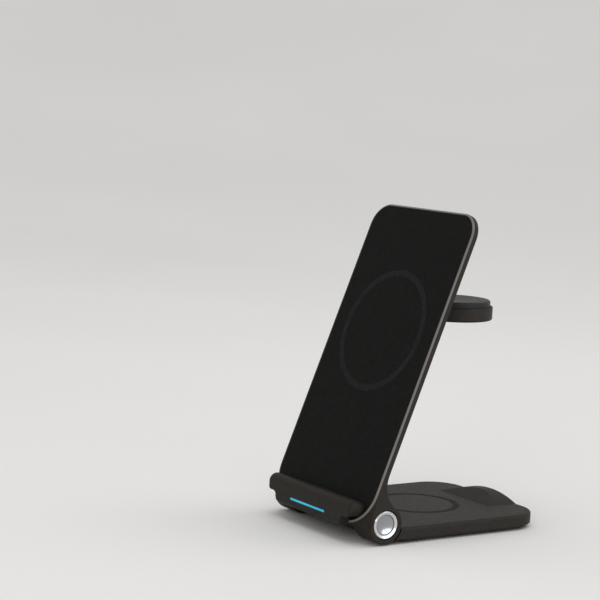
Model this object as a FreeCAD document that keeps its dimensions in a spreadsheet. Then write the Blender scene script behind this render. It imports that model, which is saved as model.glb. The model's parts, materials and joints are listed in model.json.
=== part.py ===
import FreeCAD, Part
import math
import os
import re
import Sketcher

# Foldable charger: a base, a leaning phone stand hinged on it, and a watch arm hinged on the stand.
# The frame has X to the right, Y to the rear and Z up, with the origin under the middle of the charger.

# Driving sizes in millimetres, and one angle in degrees
SIZES = {
    # Whole charger
    "body_width": 64.0,
    "overall_depth": 88.1,
    "hinge_height": 7.64,
    "lean_angle": 68.5,
    # Gaps between pieces
    "running_gap": 0.05,
    "seat_gap": 0.1,
    "fold_gap": 0.4,
    # Shell of the base
    "base_underside": 1.75,
    "base_top": 6.04,
    "base_corner_radius": 12.5,
    "base_edge_round": 1.0,
    "base_side_wall": 3.0,
    "base_top_wall": 1.2,
    "base_hollow_front": 10.0,
    "hump_width": 31.4,
    "hump_height": 3.0,
    "hump_depth": 14.0,
    "hump_crest": 5.0,
    "hump_blend": 2.0,
    "barrel_radius": 5.5,
    # Underside of the base
    "cover_inset": 1.6,
    "cover_thickness": 1.2,
    "foot_radius": 4.0,
    "foot_inset": 9.0,
    "foot_front": 15.5,
    "boss_radius": 2.6,
    # Screws
    "screw_radius": 0.85,
    "screw_grip": 2.2,
    "screw_head_radius": 1.6,
    "screw_head_height": 0.6,
    # Boards, coils and the power inlet
    "board_thickness": 0.8,
    "board_standoff": 0.95,
    "base_board_length": 16.5,
    "usb_width": 8.94,
    "usb_height": 3.26,
    "usb_length": 7.3,
    "usb_recess": 0.3,
    "usb_shell": 0.3,
    "usb_tongue_width": 6.69,
    "usb_tongue_height": 0.7,
    "coil_thickness": 1.0,
    "ferrite_thickness": 0.6,
    "board_clearance": 2.2,
    "earbuds_coil_radius": 15.0,
    "earbuds_coil_eye": 7.0,
    "ferrite_margin": 1.0,
    "earbuds_pad_radius": 17.0,
    "pad_ring_width": 2.4,
    "pad_thickness": 0.5,
    # Main hinge
    "knuckle_radius": 7.1,
    "ear_width": 10.7,
    "flare_height": 17.0,
    "rear_edge_round": 0.4,
    "corner_blend": 5.6,
    "corner_blend_round": 0.5,
    "shaft_radius": 1.5,
    "bush_radius": 3.0,
    "bush_length": 7.0,
    "cap_radius": 5.3,
    "cap_thickness": 1.5,
    "cap_edge": 0.35,
    "dish_radius": 3.9,
    "dish_slope": 0.3,
    "dish_step": 0.5,
    "dish_depth": 0.45,
    "cap_gap": 0.2,
    # Shell of the stand, measured from the hinge axis along and across the panel
    "face_offset": 8.7,
    "stand_rise": 117.3,
    "stand_drop": 4.0,
    "top_corner_radius": 9.0,
    "bottom_corner_radius": 13.0,
    "edge_thickness": 2.6,
    "rim_bevel": 0.7,
    "rim_width": 1.0,
    "plate_thickness": 1.2,
    "plate_bevel": 0.2,
    "back_inset": 7.0,
    "back_depth": 3.5,
    "back_low": 10.5,
    "back_corner_radius": 8.0,
    "back_round": 3.0,
    "back_wall": 1.2,
    # Inside the stand
    "phone_coil_radius": 21.0,
    "phone_coil_eye": 10.0,
    "lower_coil_height": 37.0,
    "upper_coil_height": 82.0,
    "phone_pad_height": 68.0,
    "phone_pad_radius": 24.0,
    "stand_board_width": 30.0,
    "stand_board_low": 18.0,
    "stand_board_length": 44.0,
    "board_screw_inset": 3.0,
    "stand_boss_radius": 2.2,
    "stand_boss_height": 0.5,
    "board_screw_grip": 0.9,
    # Ledge under the phone
    "ledge_reach": 13.3,
    "shelf_height": 4.6,
    "ledge_drop": 1.6,
    "lobe_width": 55.0,
    "lobe_bottom": 2.7,
    "lobe_round": 2.7,
    "lobe_blend": 2.0,
    "ledge_width": 43.0,
    "ledge_corner": 2.0,
    "ledge_roll": 3.2,
    "ledge_foot_round": 1.6,
    "ledge_end_round": 1.0,
    "ledge_pad_width": 44.0,
    "ledge_pad_depth": 2.2,
    "ledge_pad_setback": 0.3,
    "ledge_pad_thickness": 0.4,
    "light_width": 22.6,
    "light_height": 0.9,
    "light_depth": 1.0,
    "light_rise": 1.85,
    "led_board_width": 25.2,
    "led_board_height": 2.4,
    "led_board_thickness": 0.6,
    # Watch arm and its hinge
    "arm_axis_height": 79.3,
    "arm_axis_back": 2.6,
    "arm_thickness": 5.2,
    "arm_radius": 16.0,
    "arm_reach": 17.6,
    "arm_neck_width": 19.0,
    "arm_shell_height": 3.2,
    "arm_floor": 1.2,
    "arm_hollow_radius": 12.4,
    "arm_edge_round": 0.8,
    "arm_top_round": 0.4,
    "lug_width": 3.5,
    "lug_radius": 2.6,
    "watch_pin_radius": 1.0,
    "puck_radius": 15.0,
    "puck_height": 2.3,
    "puck_stem_radius": 12.0,
    "puck_stem_length": 1.6,
    "puck_wall": 1.0,
    "puck_roof": 1.2,
    "puck_rim_width": 2.2,
    "puck_edge": 0.5,
    "puck_dish_depth": 0.5,
    "watch_coil_radius": 10.5,
    "watch_coil_eye": 4.5,
    "arm_screw_circle": 13.9,
    "arm_screw_radius": 0.5,
    "arm_screw_head": 0.85,
    "arm_screw_sink": 0.9,
    "arm_screw_grip": 1.5,
}

# Places worked out from the driving sizes
HALF = "(body_width / 2)"
EAR_INNER = "(body_width / 2 - ear_width)"
BARREL_END = "(body_width / 2 - ear_width - fold_gap)"
REAR = "(overall_depth - ledge_reach)"
HINGE_Y = "(ledge_reach - overall_depth / 2)"
FOOT_HEIGHT = "(base_underside - cover_thickness)"
FOOT_X = "(body_width / 2 - foot_inset)"
FOOT_REAR = f"({REAR} - foot_inset)"
CEILING = "(base_top - base_top_wall)"
BASE_BOARD_HALF = f"({FOOT_X} - boss_radius - fold_gap)"
BOARD_TOP = "(base_underside + board_standoff + board_thickness)"
USB_MIDDLE = f"({BOARD_TOP} + usb_height / 2)"
BASE_BOARD_REAR = f"({REAR} - base_side_wall - seat_gap)"
EARBUDS_BACK = f"({BASE_BOARD_REAR} - base_board_length - board_clearance)"
EARBUDS_PLACE = f"({EARBUDS_BACK} - earbuds_coil_radius - ferrite_margin)"
EDGE_BACK = "(face_offset - edge_thickness)"
PLATE_BACK = "(face_offset - plate_thickness)"
COIL_BACK = f"({PLATE_BACK} - coil_thickness)"
BACK = f"({EDGE_BACK} - back_depth)"
BACK_HALF = "(body_width / 2 - back_inset)"
BACK_TOP = "(stand_rise - back_inset)"
PHONE_COIL = f"min(phone_coil_radius; {BACK_HALF} - back_wall - ferrite_margin - fold_gap)"
CORNER_X = f"({HALF} - bottom_corner_radius)"
CORNER_RISE = "(bottom_corner_radius - stand_drop)"
CORNER_TOP = f"({CORNER_RISE} + 2 * rim_bevel)"
CORNER_LOW = "(-1 * sqrt(knuckle_radius * knuckle_radius - corner_blend * corner_blend))"
STAND_FLOOR = f"({BACK} + back_wall)"
STAND_BOARD_BACK = f"({STAND_FLOOR} + stand_boss_height)"
STAND_BOARD_FRONT = f"({STAND_BOARD_BACK} + board_thickness)"
SINE = "sin(lean_angle * 1 deg)"
COSINE = "cos(lean_angle * 1 deg)"
ARM_Y = f"({HINGE_Y} + arm_axis_height * {COSINE} + arm_axis_back * {SINE})"
ARM_Z = f"(hinge_height + arm_axis_height * {SINE} - arm_axis_back * {COSINE})"
ARM_TOP = "(arm_thickness / 2)"
ARM_SHELL_TOP = "(arm_shell_height - arm_thickness / 2)"
PUCK_TOP = "(arm_thickness / 2 + puck_height)"
PUCK_CEILING = f"({PUCK_TOP} - puck_roof)"
LUG_INNER = "(arm_neck_width / 2 + fold_gap)"

doc = FreeCAD.newDocument("FoldableCharger")
sheet = doc.addObject("Spreadsheet::Sheet", "Sizes")
for row, (name, size) in enumerate(SIZES.items(), start=1):
    sheet.set(f"A{row}", name)
    sheet.set(f"B{row}", str(size))
    sheet.setAlias(f"B{row}", name)
doc.recompute()

sub_parts = []


# Helpers for sheet expressions

def ref(text):
    """An expression with each size written as a cell of the sheet."""
    return re.sub(r"[a-z][a-z0-9_]*", lambda m: f"Sizes.{m[0]}" if m[0] in SIZES else m[0], text)


def number(text):
    """The present value of an expression."""
    return float(sheet.evalExpression(ref(text)))


def minus(text):
    """An expression with its sign changed."""
    return f"(-1 * {text})"


# Helpers for bodies and sketches

def new_body(label):
    """A body of its own, which may hold several like solids."""
    body = doc.addObject("PartDesign::Body", label)
    body.Label = label
    body.AllowCompound = True
    return body


def origin_feature(body, role):
    return next(feature for feature in body.Origin.OriginFeatures if feature.Role == role)


def draw_on(body, role, offset="0"):
    """A sketch on one of the body's own planes, moved along that plane's normal."""
    sketch = body.newObject("Sketcher::SketchObject", "Sketch")
    sketch.AttachmentSupport = [(origin_feature(body, role), "")]
    sketch.MapMode = "FlatFace"
    sketch.setExpression("AttachmentOffset.Base.z", ref(offset))
    return sketch


def bind(sketch, kind, where, size):
    """A dimension of the sketch that follows the sheet."""
    index = sketch.addConstraint(Sketcher.Constraint(kind, *where, number(size)))
    sketch.setExpression(f"Constraints[{index}]", ref(size))


def bind_point(sketch, geometry, place, x, y):
    bind(sketch, "DistanceX", (-1, 1, geometry, place), x)
    bind(sketch, "DistanceY", (-1, 1, geometry, place), y)


def polygon(sketch, corners):
    """Straight lines from corner to corner, each corner held by two expressions."""
    spots = [FreeCAD.Vector(number(x), number(y)) for x, y in corners]
    first = sketch.GeometryCount
    for here, there in zip(spots, spots[1:] + spots[:1]):
        sketch.addGeometry(Part.LineSegment(here, there))
    for step, (x, y) in enumerate(corners):
        following = first + (step + 1) % len(corners)
        sketch.addConstraint(Sketcher.Constraint("Coincident", first + step, 2, following, 1))
        bind_point(sketch, first + step, 1, x, y)


def rectangle(sketch, left, bottom, right, top):
    polygon(sketch, [(left, bottom), (right, bottom), (right, top), (left, top)])


def circle(sketch, x, y, radius):
    middle = FreeCAD.Vector(number(x), number(y))
    index = sketch.addGeometry(Part.Circle(middle, FreeCAD.Vector(0, 0, 1), number(radius)))
    bind(sketch, "Radius", (index,), radius)
    bind_point(sketch, index, 3, x, y)


def arc(sketch, x, y, radius, start, end):
    """An arc drawn counter-clockwise between two angles in degrees, still to be constrained."""
    ring = Part.Circle(FreeCAD.Vector(x, y), FreeCAD.Vector(0, 0, 1), radius)
    return sketch.addGeometry(Part.ArcOfCircle(ring, math.radians(start), math.radians(end)))


def line(sketch, start, end):
    return sketch.addGeometry(Part.LineSegment(FreeCAD.Vector(*start), FreeCAD.Vector(*end)))


def half_disc(sketch, x, radius):
    """The upper half of a disc, standing on the horizontal axis of the sketch."""
    middle, reach = number(x), number(radius)
    bow = arc(sketch, middle, 0, reach, 0, 180)
    chord = line(sketch, (middle - reach, 0), (middle + reach, 0))
    for here, there in ((bow, chord), (chord, bow)):
        sketch.addConstraint(Sketcher.Constraint("Coincident", here, 2, there, 1))
    sketch.addConstraint(Sketcher.Constraint("Horizontal", chord))
    bind_point(sketch, bow, 3, x, "0")
    bind(sketch, "Radius", (bow,), radius)
    bind(sketch, "DistanceY", (-1, 1, chord, 1), "0")


def join(sketch, *pairs):
    """Smooth joints: each pair is (curve, its end, next curve, its end)."""
    for pair in pairs:
        sketch.addConstraint(Sketcher.Constraint("Tangent", *pair))


def slot(sketch, y, width, height):
    """A long slot with round ends, centred on the vertical axis of the sketch."""
    reach = f"(({width} - {height}) / 2)"
    radius = f"({height} / 2)"
    span, middle, end = number(reach), number(y), number(radius)
    right = arc(sketch, span, middle, end, -90, 90)
    left = arc(sketch, -span, middle, end, 90, 270)
    top = line(sketch, (span, middle + end), (-span, middle + end))
    bottom = line(sketch, (-span, middle - end), (span, middle - end))
    join(sketch, (right, 2, top, 1), (top, 2, left, 1), (left, 2, bottom, 1), (bottom, 2, right, 1))
    for curve, x in ((right, reach), (left, minus(reach))):
        bind_point(sketch, curve, 3, x, y)
        bind(sketch, "Radius", (curve,), radius)


def rounded_rectangle(sketch, half, low, high, low_radius, high_radius):
    """A rectangle about the vertical axis, with one radius at its lower corners and one at its upper."""
    near, far = f"({half} - {low_radius})", f"({half} - {high_radius})"
    below, above = f"({low} + {low_radius})", f"({high} - {high_radius})"
    corners = [
        (near, below, low_radius, 270),
        (far, above, high_radius, 0),
        (minus(far), above, high_radius, 90),
        (minus(near), below, low_radius, 180),
    ]
    turns = [arc(sketch, number(x), number(y), number(r), start, start + 90) for x, y, r, start in corners]
    for here, there in zip(turns, turns[1:] + turns[:1]):
        ends = (sketch.getPoint(here, 2), sketch.getPoint(there, 1))
        side = line(sketch, *ends)
        join(sketch, (here, 2, side, 1), (side, 2, there, 1))
    for turn, (x, y, radius, start) in zip(turns, corners):
        bind_point(sketch, turn, 3, x, y)
        bind(sketch, "Radius", (turn,), radius)


# Helpers for features

def extrude(kind, body, sketch, length, flip, both):
    feature = body.newObject(f"PartDesign::{kind}", kind)
    feature.Profile = sketch
    feature.setExpression("Length", ref(length))
    feature.Reversed = flip
    feature.Midplane = both
    doc.recompute()
    return feature


def pad(body, sketch, length, flip=False, both=False):
    return extrude("Pad", body, sketch, length, flip, both)


def pocket(body, sketch, length, flip=False, both=False):
    """A pocket that has to take material away."""
    before = body.Shape.Volume
    feature = extrude("Pocket", body, sketch, length, flip, both)
    if body.Shape.Volume >= before:
        raise ValueError(f"a pocket of {body.Label} cuts nothing")
    return feature


def mirror(body, feature):
    """The same feature on the other side of the middle plane."""
    copy = body.newObject("PartDesign::Mirrored", "Mirrored")
    copy.Originals = [feature]
    copy.MirrorPlane = (origin_feature(body, "YZ_Plane"), [""])
    body.Tip = copy
    doc.recompute()
    return copy


def spin(kind, body, sketch, role):
    feature = body.newObject(f"PartDesign::{kind}", kind)
    feature.Profile = sketch
    feature.ReferenceAxis = (origin_feature(body, role), [""])
    feature.Angle = 360
    doc.recompute()


def revolve(body, sketch, role):
    spin("Revolution", body, sketch, role)


def groove(body, sketch, role):
    spin("Groove", body, sketch, role)


def loft(body, first, second):
    """A solid drawn straight from one sketch to another."""
    feature = body.newObject("PartDesign::AdditiveLoft", "Loft")
    feature.Profile = first
    feature.Sections = [second]
    feature.Ruled = True
    doc.recompute()
    return feature


def fuse(body, other):
    """Another body made one with this one."""
    union = body.newObject("PartDesign::Boolean", "Boolean")
    union.Type = "Fuse"
    union.setObjects([other])
    doc.recompute()


def dress(kind, body, size_name, size, wanted):
    base = body.Tip
    edges = [f"Edge{index}" for index, edge in enumerate(base.Shape.Edges, start=1) if wanted(edge)]
    if not edges:
        raise ValueError(f"no edge of {body.Label} to dress")
    feature = body.newObject(f"PartDesign::{kind}", kind)
    feature.Base = (base, edges)
    feature.setExpression(size_name, ref(size))
    doc.recompute()
    return feature


def round_edges(body, radius, wanted):
    return dress("Fillet", body, "Radius", radius, wanted)


def bevel_edges(body, size, wanted):
    return dress("Chamfer", body, "Size", size, wanted)


# Tests that pick edges by where they lie

NEAR = 0.001


def close(value, text):
    return abs(value - number(text)) < NEAR


def flat_at(edge, axis, text):
    """The edge lies in the plane where one coordinate has the given value."""
    box = edge.BoundBox
    low, high = getattr(box, f"{axis}Min"), getattr(box, f"{axis}Max")
    return close(low, text) and close(high, text)


def runs_along(edge, axis):
    """The edge is straight and parallel to an axis."""
    box = edge.BoundBox
    across = [getattr(box, f"{other}Length") for other in "XYZ" if other != axis]
    return max(across) < NEAR < getattr(box, f"{axis}Length")


# Helpers for placing

def keep(piece, y="0", z="0"):
    """A finished sub-part, moved to its place."""
    piece.setExpression("Placement.Base.y", ref(y))
    piece.setExpression("Placement.Base.z", ref(z))
    sub_parts.append(piece)


def keep_leaning(piece):
    """A finished sub-part that was drawn upright about the hinge axis, leaned back in its place."""
    piece.Placement = FreeCAD.Placement(FreeCAD.Vector(), FreeCAD.Rotation(FreeCAD.Vector(-1, 0, 0), 1))
    piece.setExpression("Placement.Rotation.Angle", ref("90 - lean_angle"))
    keep(piece, HINGE_Y, "hinge_height")


def foot_places():
    return [(x, y) for x in (FOOT_X, minus(FOOT_X)) for y in ("foot_front", FOOT_REAR)]


def circles(sketch, places, radius):
    for x, y in places:
        circle(sketch, x, y, radius)


# Base: everything is drawn with the hinge axis above the origin

def base_slab(body):
    sketch = draw_on(body, "XY_Plane", "base_underside")
    rectangle(sketch, minus(HALF), "0", HALF, REAR)
    pad(body, sketch, "base_top - base_underside")
    round_edges(body, "base_corner_radius", lambda e: runs_along(e, "Z") and e.BoundBox.YMin > 1)
    round_edges(body, "base_edge_round", lambda e: flat_at(e, "Z", "base_top") and e.BoundBox.YMax > 1)


def base_hump(slab):
    """The low arch over the power inlet, flush with the rear wall and sloping down to the front."""
    body = new_body("base_hump")
    half = "(hump_width / 2)"
    radius = f"(({half} * {half} + hump_height * hump_height) / (2 * hump_height))"
    middle = f"(base_top + hump_height - {radius})"
    sunk = "(base_top - base_edge_round - seat_gap)"
    drop = f"({sunk} - {middle})"
    reach = f"sqrt({radius} * {radius} - {drop} * {drop})"
    swing = math.degrees(math.atan2(number(reach), number(drop)))
    sketch = draw_on(body, "XZ_Plane", minus(REAR))
    top = arc(sketch, 0, number(middle), number(radius), 90 - swing, 90 + swing)
    bottom = line(sketch, (-number(reach), number(sunk)), (number(reach), number(sunk)))
    for here, there in ((top, bottom), (bottom, top)):
        sketch.addConstraint(Sketcher.Constraint("Coincident", here, 2, there, 1))
    bind_point(sketch, top, 3, "0", middle)
    bind(sketch, "Radius", (top,), radius)
    bind(sketch, "DistanceY", (-1, 1, bottom, 1), sunk)
    sketch.addConstraint(Sketcher.Constraint("Horizontal", bottom))
    pad(body, sketch, "hump_depth")
    slope = draw_on(body, "YZ_Plane")
    crest = "(base_top + hump_height)"
    front = f"({REAR} - hump_depth - seat_gap)"
    polygon(slope, [(front, "base_top"), (f"({REAR} - hump_crest)", crest), (front, crest)])
    pocket(body, slope, "hump_width", both=True)
    brow = f"({REAR} - hump_crest)"
    round_edges(body, "hump_blend", lambda e: close(e.BoundBox.YMax, brow) and close(e.BoundBox.ZMax, crest))
    round_edges(body, "base_edge_round", lambda e: flat_at(e, "Y", REAR) and close(e.BoundBox.ZMax, crest))
    fuse(slab, body)


def base_barrel(body):
    """The hinge barrel between the knuckles, its bore, and the round cuts that the knuckles turn in."""
    sketch = draw_on(body, "YZ_Plane")
    circle(sketch, "0", "hinge_height", "barrel_radius")
    pad(body, sketch, f"2 * {BARREL_END}", both=True)
    cut = draw_on(body, "YZ_Plane", BARREL_END)
    circle(cut, "0", "hinge_height", "knuckle_radius + fold_gap")
    mirror(body, pocket(body, cut, "ear_width + 2 * fold_gap", flip=True))
    bore = draw_on(body, "YZ_Plane")
    circle(bore, "0", "hinge_height", "bush_radius + running_gap")
    pocket(body, bore, "body_width", both=True)


def base_hollow(body):
    """The hollow under the top, with its four screw bosses."""
    inner = "(body_width / 2 - base_side_wall)"
    rear = f"({REAR} - base_side_wall)"
    sketch = draw_on(body, "XY_Plane", "base_underside")
    rounded_rectangle(sketch, inner, "base_hollow_front", rear, "base_side_wall",
                      "(base_corner_radius - base_side_wall)")
    pocket(body, sketch, f"{CEILING} - base_underside", flip=True)
    posts = draw_on(body, "XY_Plane", "base_underside")
    circles(posts, foot_places(), "boss_radius")
    pad(body, posts, f"{CEILING} - base_underside + base_top_wall / 2")
    pilots = draw_on(body, "XY_Plane", "base_underside")
    circles(pilots, foot_places(), "screw_radius + running_gap")
    pocket(body, pilots, "screw_grip + seat_gap", flip=True)


def base_openings(body):
    """The mouth of the power inlet and the groove of the soft inlay."""
    mouth = draw_on(body, "XZ_Plane", minus(REAR))
    slot(mouth, USB_MIDDLE, "(usb_width + 2 * seat_gap)", "(usb_height + 2 * seat_gap)")
    pocket(body, mouth, "usb_length + usb_recess + seat_gap", flip=True)
    groove = draw_on(body, "XY_Plane", "base_top")
    circle(groove, "0", EARBUDS_PLACE, "earbuds_pad_radius + running_gap")
    circle(groove, "0", EARBUDS_PLACE, "earbuds_pad_radius - pad_ring_width - running_gap")
    pocket(body, groove, "pad_thickness")


def make_base_top_shell():
    body = new_body("base_top_shell")
    base_slab(body)
    base_hump(body)
    base_barrel(body)
    base_hollow(body)
    base_openings(body)
    keep(body, HINGE_Y)


def make_base_bottom_cover():
    body = new_body("base_bottom_cover")
    half = "(body_width / 2 - cover_inset)"
    front = "(base_hollow_front - cover_inset)"
    rear = f"({REAR} - cover_inset)"
    sketch = draw_on(body, "XY_Plane", FOOT_HEIGHT)
    rounded_rectangle(sketch, half, front, rear, "cover_inset", "(base_corner_radius - cover_inset)")
    pad(body, sketch, "cover_thickness")
    holes = draw_on(body, "XY_Plane", "base_underside")
    circles(holes, foot_places(), "screw_radius + seat_gap")
    pocket(body, holes, "cover_thickness")
    sinks = draw_on(body, "XY_Plane", FOOT_HEIGHT)
    circles(sinks, foot_places(), "screw_head_radius + seat_gap")
    pocket(body, sinks, "screw_head_height", flip=True)
    posts = draw_on(body, "XY_Plane", "base_underside - cover_thickness / 2")
    across = f"({BASE_BOARD_HALF} - board_screw_inset)"
    along = (f"({BASE_BOARD_REAR} - board_screw_inset)",
             f"({BASE_BOARD_REAR} - base_board_length + board_screw_inset)")
    circles(posts, [(x, y) for x in (across, minus(across)) for y in along], "stand_boss_radius")
    pad(body, posts, "cover_thickness / 2 + board_standoff")
    keep(body, HINGE_Y)


def make_base_feet():
    body = new_body("base_feet")
    sketch = draw_on(body, "XY_Plane")
    circles(sketch, foot_places(), "foot_radius")
    pad(body, sketch, FOOT_HEIGHT)
    bevel_edges(body, f"{FOOT_HEIGHT} / 3", lambda e: flat_at(e, "Z", "0"))
    keep(body, HINGE_Y)


def make_base_screws():
    body = new_body("base_screws")
    head = draw_on(body, "XY_Plane", FOOT_HEIGHT)
    circles(head, foot_places(), "screw_head_radius")
    pad(body, head, "screw_head_height")
    shank = draw_on(body, "XY_Plane", f"{FOOT_HEIGHT} + screw_head_height")
    circles(shank, foot_places(), "screw_radius")
    pad(body, shank, "cover_thickness - screw_head_height + screw_grip")
    keep(body, HINGE_Y)


def make_base_circuit_board():
    body = new_body("base_circuit_board")
    sketch = draw_on(body, "XY_Plane", "base_underside + board_standoff")
    rectangle(sketch, minus(BASE_BOARD_HALF), f"({BASE_BOARD_REAR} - base_board_length)",
              BASE_BOARD_HALF, BASE_BOARD_REAR)
    pad(body, sketch, "board_thickness")
    keep(body, HINGE_Y)


def make_usb_c_socket():
    """The metal shell of the inlet with its tongue, seated on the board."""
    body = new_body("usb_c_socket")
    mouth = f"({REAR} - usb_recess)"
    outer = draw_on(body, "XZ_Plane", minus(mouth))
    slot(outer, USB_MIDDLE, "usb_width", "usb_height")
    pad(body, outer, "usb_length")
    inner = draw_on(body, "XZ_Plane", minus(mouth))
    slot(inner, USB_MIDDLE, "(usb_width - 2 * usb_shell)", "(usb_height - 2 * usb_shell)")
    pocket(body, inner, "usb_length - 2 * usb_shell", flip=True)
    tongue = draw_on(body, "XZ_Plane", minus(f"({mouth} - 2 * usb_shell)"))
    half = "(usb_tongue_width / 2)"
    low = f"({USB_MIDDLE} - usb_tongue_height / 2)"
    rectangle(tongue, minus(half), low, half, f"({low} + usb_tongue_height)")
    pad(body, tongue, "usb_length - 3 * usb_shell")
    keep(body, HINGE_Y)


def disc(body, role, offset, places, radius, thickness, eye=None, flip=False):
    """Flat discs on a plane, each with an eye if one is given."""
    sketch = draw_on(body, role, offset)
    circles(sketch, places, radius)
    if eye:
        circles(sketch, places, eye)
    pad(body, sketch, thickness, flip=flip)


def make_earbuds_charging():
    place = [("0", EARBUDS_PLACE)]
    coil = new_body("earbuds_coil")
    disc(coil, "XY_Plane", CEILING, place, "earbuds_coil_radius", "coil_thickness",
         "earbuds_coil_eye", flip=True)
    keep(coil, HINGE_Y)
    ferrite = new_body("earbuds_coil_ferrite")
    disc(ferrite, "XY_Plane", f"{CEILING} - coil_thickness", place,
         "earbuds_coil_radius + ferrite_margin", "ferrite_thickness", flip=True)
    keep(ferrite, HINGE_Y)
    inlay = new_body("earbuds_pad")
    disc(inlay, "XY_Plane", "base_top", place, "earbuds_pad_radius", "pad_thickness",
         "earbuds_pad_radius - pad_ring_width", flip=True)
    keep(inlay, HINGE_Y)


def make_hinge_bushes():
    body = new_body("hinge_bushes")
    sketch = draw_on(body, "YZ_Plane")
    circle(sketch, "0", "hinge_height", "bush_radius")
    circle(sketch, "0", "hinge_height", "shaft_radius + running_gap")
    pad(body, sketch, f"2 * {BARREL_END}", both=True)
    middle = draw_on(body, "YZ_Plane")
    circle(middle, "0", "hinge_height", "bush_radius + running_gap")
    pocket(body, middle, f"2 * ({BARREL_END} - bush_length)", both=True)
    keep(body, HINGE_Y)


# Stand: drawn upright about the hinge axis, with Y across the panel and Z along it, then leaned back

def panel_outline(body, offset, inset):
    """The stand's outline, drawn in by an inset."""
    sketch = draw_on(body, "XZ_Plane", offset)
    rounded_rectangle(sketch, f"({HALF} - {inset})", f"({inset} - stand_drop)", f"(stand_rise - {inset})",
                      f"(bottom_corner_radius - {inset})", f"(top_corner_radius - {inset})")
    return sketch


def back_outline(body, offset, inset):
    """The outline of the raised back, drawn in by an inset."""
    sketch = draw_on(body, "XZ_Plane", offset)
    radius = f"(back_corner_radius - {inset})"
    rounded_rectangle(sketch, f"({BACK_HALF} - {inset})", f"(back_low + {inset})", f"({BACK_TOP} - {inset})",
                      radius, radius)
    return sketch


def housing_back(body):
    """The raised back, which gives the panel room for its coils."""
    pad(body, back_outline(body, EDGE_BACK, "0"), "back_depth", flip=True)
    round_edges(body, "back_round", lambda e: flat_at(e, "Y", minus(BACK)))


def housing_knuckle(body):
    """One knuckle: a round end that flares up into the thin edge of the panel with a hollow curve."""
    edge, knuckle, rise = number(EDGE_BACK), number("knuckle_radius"), number("flare_height")
    sweep = (rise ** 2 + edge ** 2 - knuckle ** 2) / (2 * (edge + knuckle))
    across = sweep - edge
    toward = math.degrees(math.atan2(rise, across))
    front, low, top = -number("corner_blend"), number(CORNER_LOW), number(CORNER_TOP)
    sketch = draw_on(body, "YZ_Plane", EAR_INNER)
    flare = arc(sketch, across, rise, sweep, 180, 180 + toward)
    round_end = arc(sketch, 0, 0, knuckle, math.degrees(math.atan2(low, front)), toward)
    upright = line(sketch, (front, low), (front, top))
    step = line(sketch, (front, top), (-edge, top))
    face = line(sketch, (-edge, top), (-edge, rise))
    join(sketch, (flare, 2, round_end, 2), (face, 2, flare, 1))
    for here, ending, there in ((round_end, 1, upright), (upright, 2, step), (step, 2, face)):
        sketch.addConstraint(Sketcher.Constraint("Coincident", here, ending, there, 1))
    for side in (upright, face):
        sketch.addConstraint(Sketcher.Constraint("Vertical", side))
    sketch.addConstraint(Sketcher.Constraint("Horizontal", step))
    bind_point(sketch, step, 1, "(-1 * corner_blend)", CORNER_TOP)
    bind_point(sketch, face, 2, minus(EDGE_BACK), "flare_height")
    sketch.addConstraint(Sketcher.Constraint("Coincident", round_end, 3, -1, 1))
    bind(sketch, "Radius", (round_end,), "knuckle_radius")
    mirror(body, pad(body, sketch, "ear_width"))
    round_edges(body, "rear_edge_round", outer_rear_edge)


def outer_rear_edge(edge):
    """The edge round the back of the stand, down both sides and round the knuckles."""
    box = edge.BoundBox
    knuckle = box.XLength < NEAR and close(abs(box.XMin), HALF) and box.YMax > NEAR - number("corner_blend")
    side = close(max(box.XMax, -box.XMin), HALF) and box.ZMax > number("flare_height") + NEAR
    top = box.ZMax > number(BACK_TOP) + NEAR
    return knuckle or (flat_at(edge, "Y", minus(EDGE_BACK)) and (side or top))


def corner_sides(sketch, curve, first):
    """The outer, upper and inner sides of a corner's outline, from the end of its curve to its start."""
    outside, inside, top = number(HALF), number(EAR_INNER), number(CORNER_TOP)
    start, end = sketch.getPoint(first, 1), sketch.getPoint(curve, 2)
    outer = line(sketch, (end.x, end.y), (outside, top))
    lid = line(sketch, (outside, top), (inside, top))
    inner = line(sketch, (inside, top), (start.x, start.y))
    for here, there in ((curve, outer), (outer, lid), (lid, inner), (inner, first)):
        sketch.addConstraint(Sketcher.Constraint("Coincident", here, 2, there, 1))
    for side in (outer, inner):
        sketch.addConstraint(Sketcher.Constraint("Vertical", side))
    sketch.addConstraint(Sketcher.Constraint("Horizontal", lid))
    bind_point(sketch, lid, 2, EAR_INNER, CORNER_TOP)


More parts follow.
